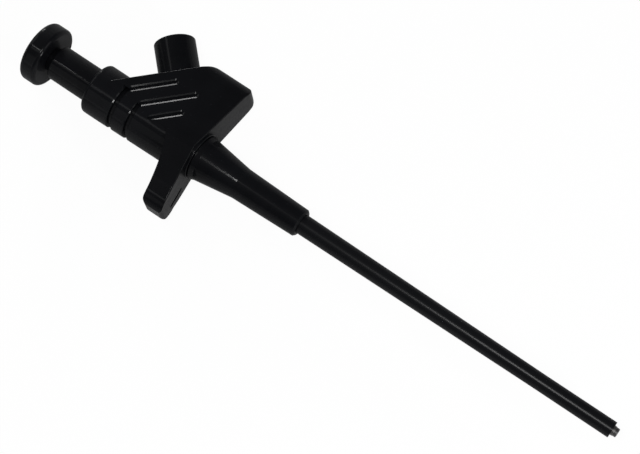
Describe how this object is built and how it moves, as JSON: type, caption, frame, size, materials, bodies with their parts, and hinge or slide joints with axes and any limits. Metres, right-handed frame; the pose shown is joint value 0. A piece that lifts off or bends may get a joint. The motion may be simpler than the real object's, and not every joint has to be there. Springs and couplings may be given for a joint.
{
  "type": "clamp test probe",
  "caption": "Plunger-operated clamp test probe: thumb button, winged finger grip with angled shrouded 4 mm socket, cone, slim flexible shaft and small metal jaws.",
  "frame": {"origin": "on the plunger axis, in the mouth of the tip ferrule where the jaws come out", "axes": "+X along the shaft from the button towards the jaws, +Y towards the wing with the socket, +Z across the thickness of the grip, square to its flat faces"},
  "size_m": [0.1643, 0.0403, 0.0154],
  "materials": {
    "black_plastic": "glossy moulded black polyamide",
    "inner_plastic": "natural low-friction plastic",
    "shaft_plastic": "glossy flexible black insulation",
    "brass": "turned brass",
    "nickel": "nickel-plated brass",
    "steel": "drawn steel"
  },
  "bodies": {
    "grip": {"shell_near": "black_plastic", "shell_far": "black_plastic", "guide_bush": "inner_plastic", "contact_bush": "brass", "contact_strip": "brass", "socket_shroud": "black_plastic", "socket_insulator": "black_plastic", "socket_contact": "nickel", "nose_cone": "black_plastic", "rod_guide": "inner_plastic", "anchor_ring": "brass", "shaft_tube": "shaft_plastic", "shaft_liner": "inner_plastic", "tip_ferrule": "nickel", "return_spring": "steel"},
    "plunger": {"button_cap": "black_plastic", "thumb_button": "black_plastic", "button_screw": "steel", "plunger_sleeve": "black_plastic", "push_rod": "steel", "core_wire": "steel", "jaw_carrier": "steel", "jaw_pin": "steel"},
    "jaw_upper": {"jaw_upper": "steel"},
    "jaw_lower": {"jaw_lower": "steel"}
  },
  "joints": [
    {"name": "plunger_slide", "type": "slide", "parent": "grip", "child": "plunger", "axis": [1, 0, 0], "range_m": [0, 0.008], "stiffness_N_per_m": 570, "springref_m": -0.006, "deforming": ["return_spring"]},
    {"name": "jaw_upper_open", "type": "hinge", "parent": "plunger", "child": "jaw_upper", "pos_m": [-0.009, 0, 0], "axis": [0, 0, 1], "range_deg": [0, 12.1]},
    {"name": "jaw_lower_open", "type": "hinge", "parent": "plunger", "child": "jaw_lower", "pos_m": [-0.009, 0, 0], "axis": [0, 0, -1], "range_deg": [0, 12.1]}
  ],
  "couplings": [
    {"joint": "jaw_upper_open", "follows": "plunger_slide", "rad_per_m": 26.18},
    {"joint": "jaw_lower_open", "follows": "plunger_slide", "rad_per_m": 26.18}
  ]
}
